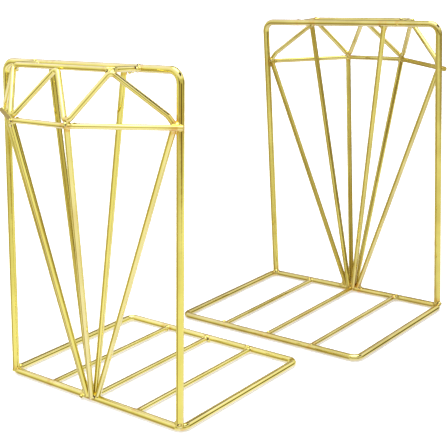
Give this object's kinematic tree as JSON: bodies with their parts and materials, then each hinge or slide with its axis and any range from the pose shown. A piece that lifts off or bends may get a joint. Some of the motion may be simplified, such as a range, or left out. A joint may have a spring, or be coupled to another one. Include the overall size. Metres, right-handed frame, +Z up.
{
  "type": "book ends",
  "caption": "Pair of wire book ends: flat slatted base, upright frame and a faceted diamond of thin wire on its back.",
  "frame": {"origin": "on the shelf, under the middle of the outline of the pair", "axes": "+X from the left book end to the right one, +Y along the uprights' width, +Z up"},
  "size_m": [0.273, 0.1616, 0.1824],
  "materials": {
    "frame_wire": "polished",
    "rod_wire": "polished",
    "thin_wire": "polished"
  },
  "bodies": {
    "left_book_end": {"left_base_loop": "frame_wire", "left_base_slat_1": "thin_wire", "left_base_slat_2": "thin_wire", "left_base_slat_3": "thin_wire", "left_upright_frame": "frame_wire", "left_girdle_wire": "thin_wire", "left_table_wire": "thin_wire", "left_crown_wire": "thin_wire", "left_girdle_rod_1": "rod_wire", "left_girdle_rod_2": "rod_wire", "left_girdle_rod_3": "rod_wire", "left_girdle_rod_4": "rod_wire", "left_top_rod_1": "rod_wire", "left_top_rod_2": "rod_wire"},
    "right_book_end": {"right_base_loop": "frame_wire", "right_base_slat_1": "thin_wire", "right_base_slat_2": "thin_wire", "right_base_slat_3": "thin_wire", "right_upright_frame": "frame_wire", "right_girdle_wire": "thin_wire", "right_table_wire": "thin_wire", "right_crown_wire": "thin_wire", "right_girdle_rod_1": "rod_wire", "right_girdle_rod_2": "rod_wire", "right_girdle_rod_3": "rod_wire", "right_girdle_rod_4": "rod_wire", "right_top_rod_1": "rod_wire", "right_top_rod_2": "rod_wire"}
  },
  "joints": [
    {"name": "spacing", "type": "slide", "parent": "left_book_end", "child": "right_book_end", "axis": [1, 0, 0], "range_m": [-0.017, 0.25]}
  ]
}
